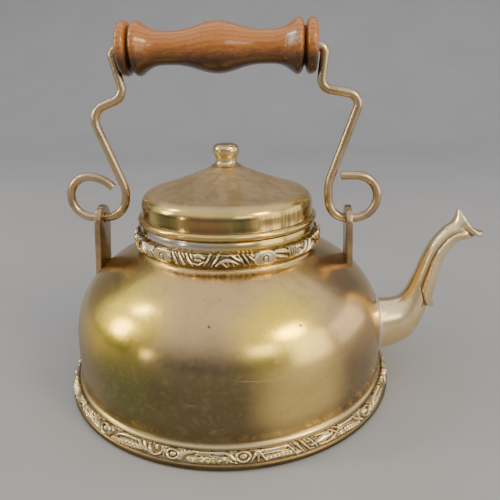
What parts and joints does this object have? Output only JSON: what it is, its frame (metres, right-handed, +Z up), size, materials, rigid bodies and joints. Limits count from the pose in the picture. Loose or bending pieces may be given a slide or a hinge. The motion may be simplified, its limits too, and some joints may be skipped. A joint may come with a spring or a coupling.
{
  "type": "kettle with bail handle",
  "caption": "Low round brass kettle with a swinging bail handle, turned wooden grip, lift-off domed lid, scroll ornament bands and a curved spout.",
  "frame": {"origin": "centre of the flat base, on the surface the kettle stands on", "axes": "+X towards the spout, +Z up"},
  "size_m": [0.2524, 0.2, 0.2097],
  "materials": {
    "spun_brass": "aged, hand-rubbed, brown lacquer patches",
    "lid_brass": "polished side, dull dusty top",
    "cast_brass": "satin cast surface",
    "pale_ornament": "worn pale relief with dark hollows",
    "red_rim": "reddish bare rim",
    "ear_brass": "dull sheet brass",
    "rod_brass": "drawn rod, handled",
    "inner_brass": "dull, unpolished",
    "turned_wood": "reddish brown stain under gloss"
  },
  "bodies": {
    "kettle": {"body_shell": "spun_brass", "base_pan": "red_rim", "foot_band": "pale_ornament", "mouth_ring": "lid_brass", "neck_band": "pale_ornament", "spout": "cast_brass", "ear_left": "ear_brass", "ear_right": "ear_brass"},
    "lid": {"lid_shell": "lid_brass", "lid_collar": "inner_brass", "lid_knob": "lid_brass", "knob_nut": "inner_brass"},
    "bail": {"bail_rod": "rod_brass"},
    "grip": {"wood_grip": "turned_wood"}
  },
  "joints": [
    {"name": "bail_swing", "type": "hinge", "parent": "kettle", "child": "bail", "pos_m": [0, 0, 0.0998], "axis": [1, 0, 0], "range_deg": [-104, 104]},
    {"name": "grip_spin", "type": "hinge", "parent": "bail", "child": "grip", "pos_m": [-0.003, 0, 0.1953], "axis": [1, 0, 0], "continuous": true},
    {"name": "lid_lift", "type": "slide", "parent": "kettle", "child": "lid", "axis": [0, 0, 1], "range_m": [0, 0.034]}
  ]
}
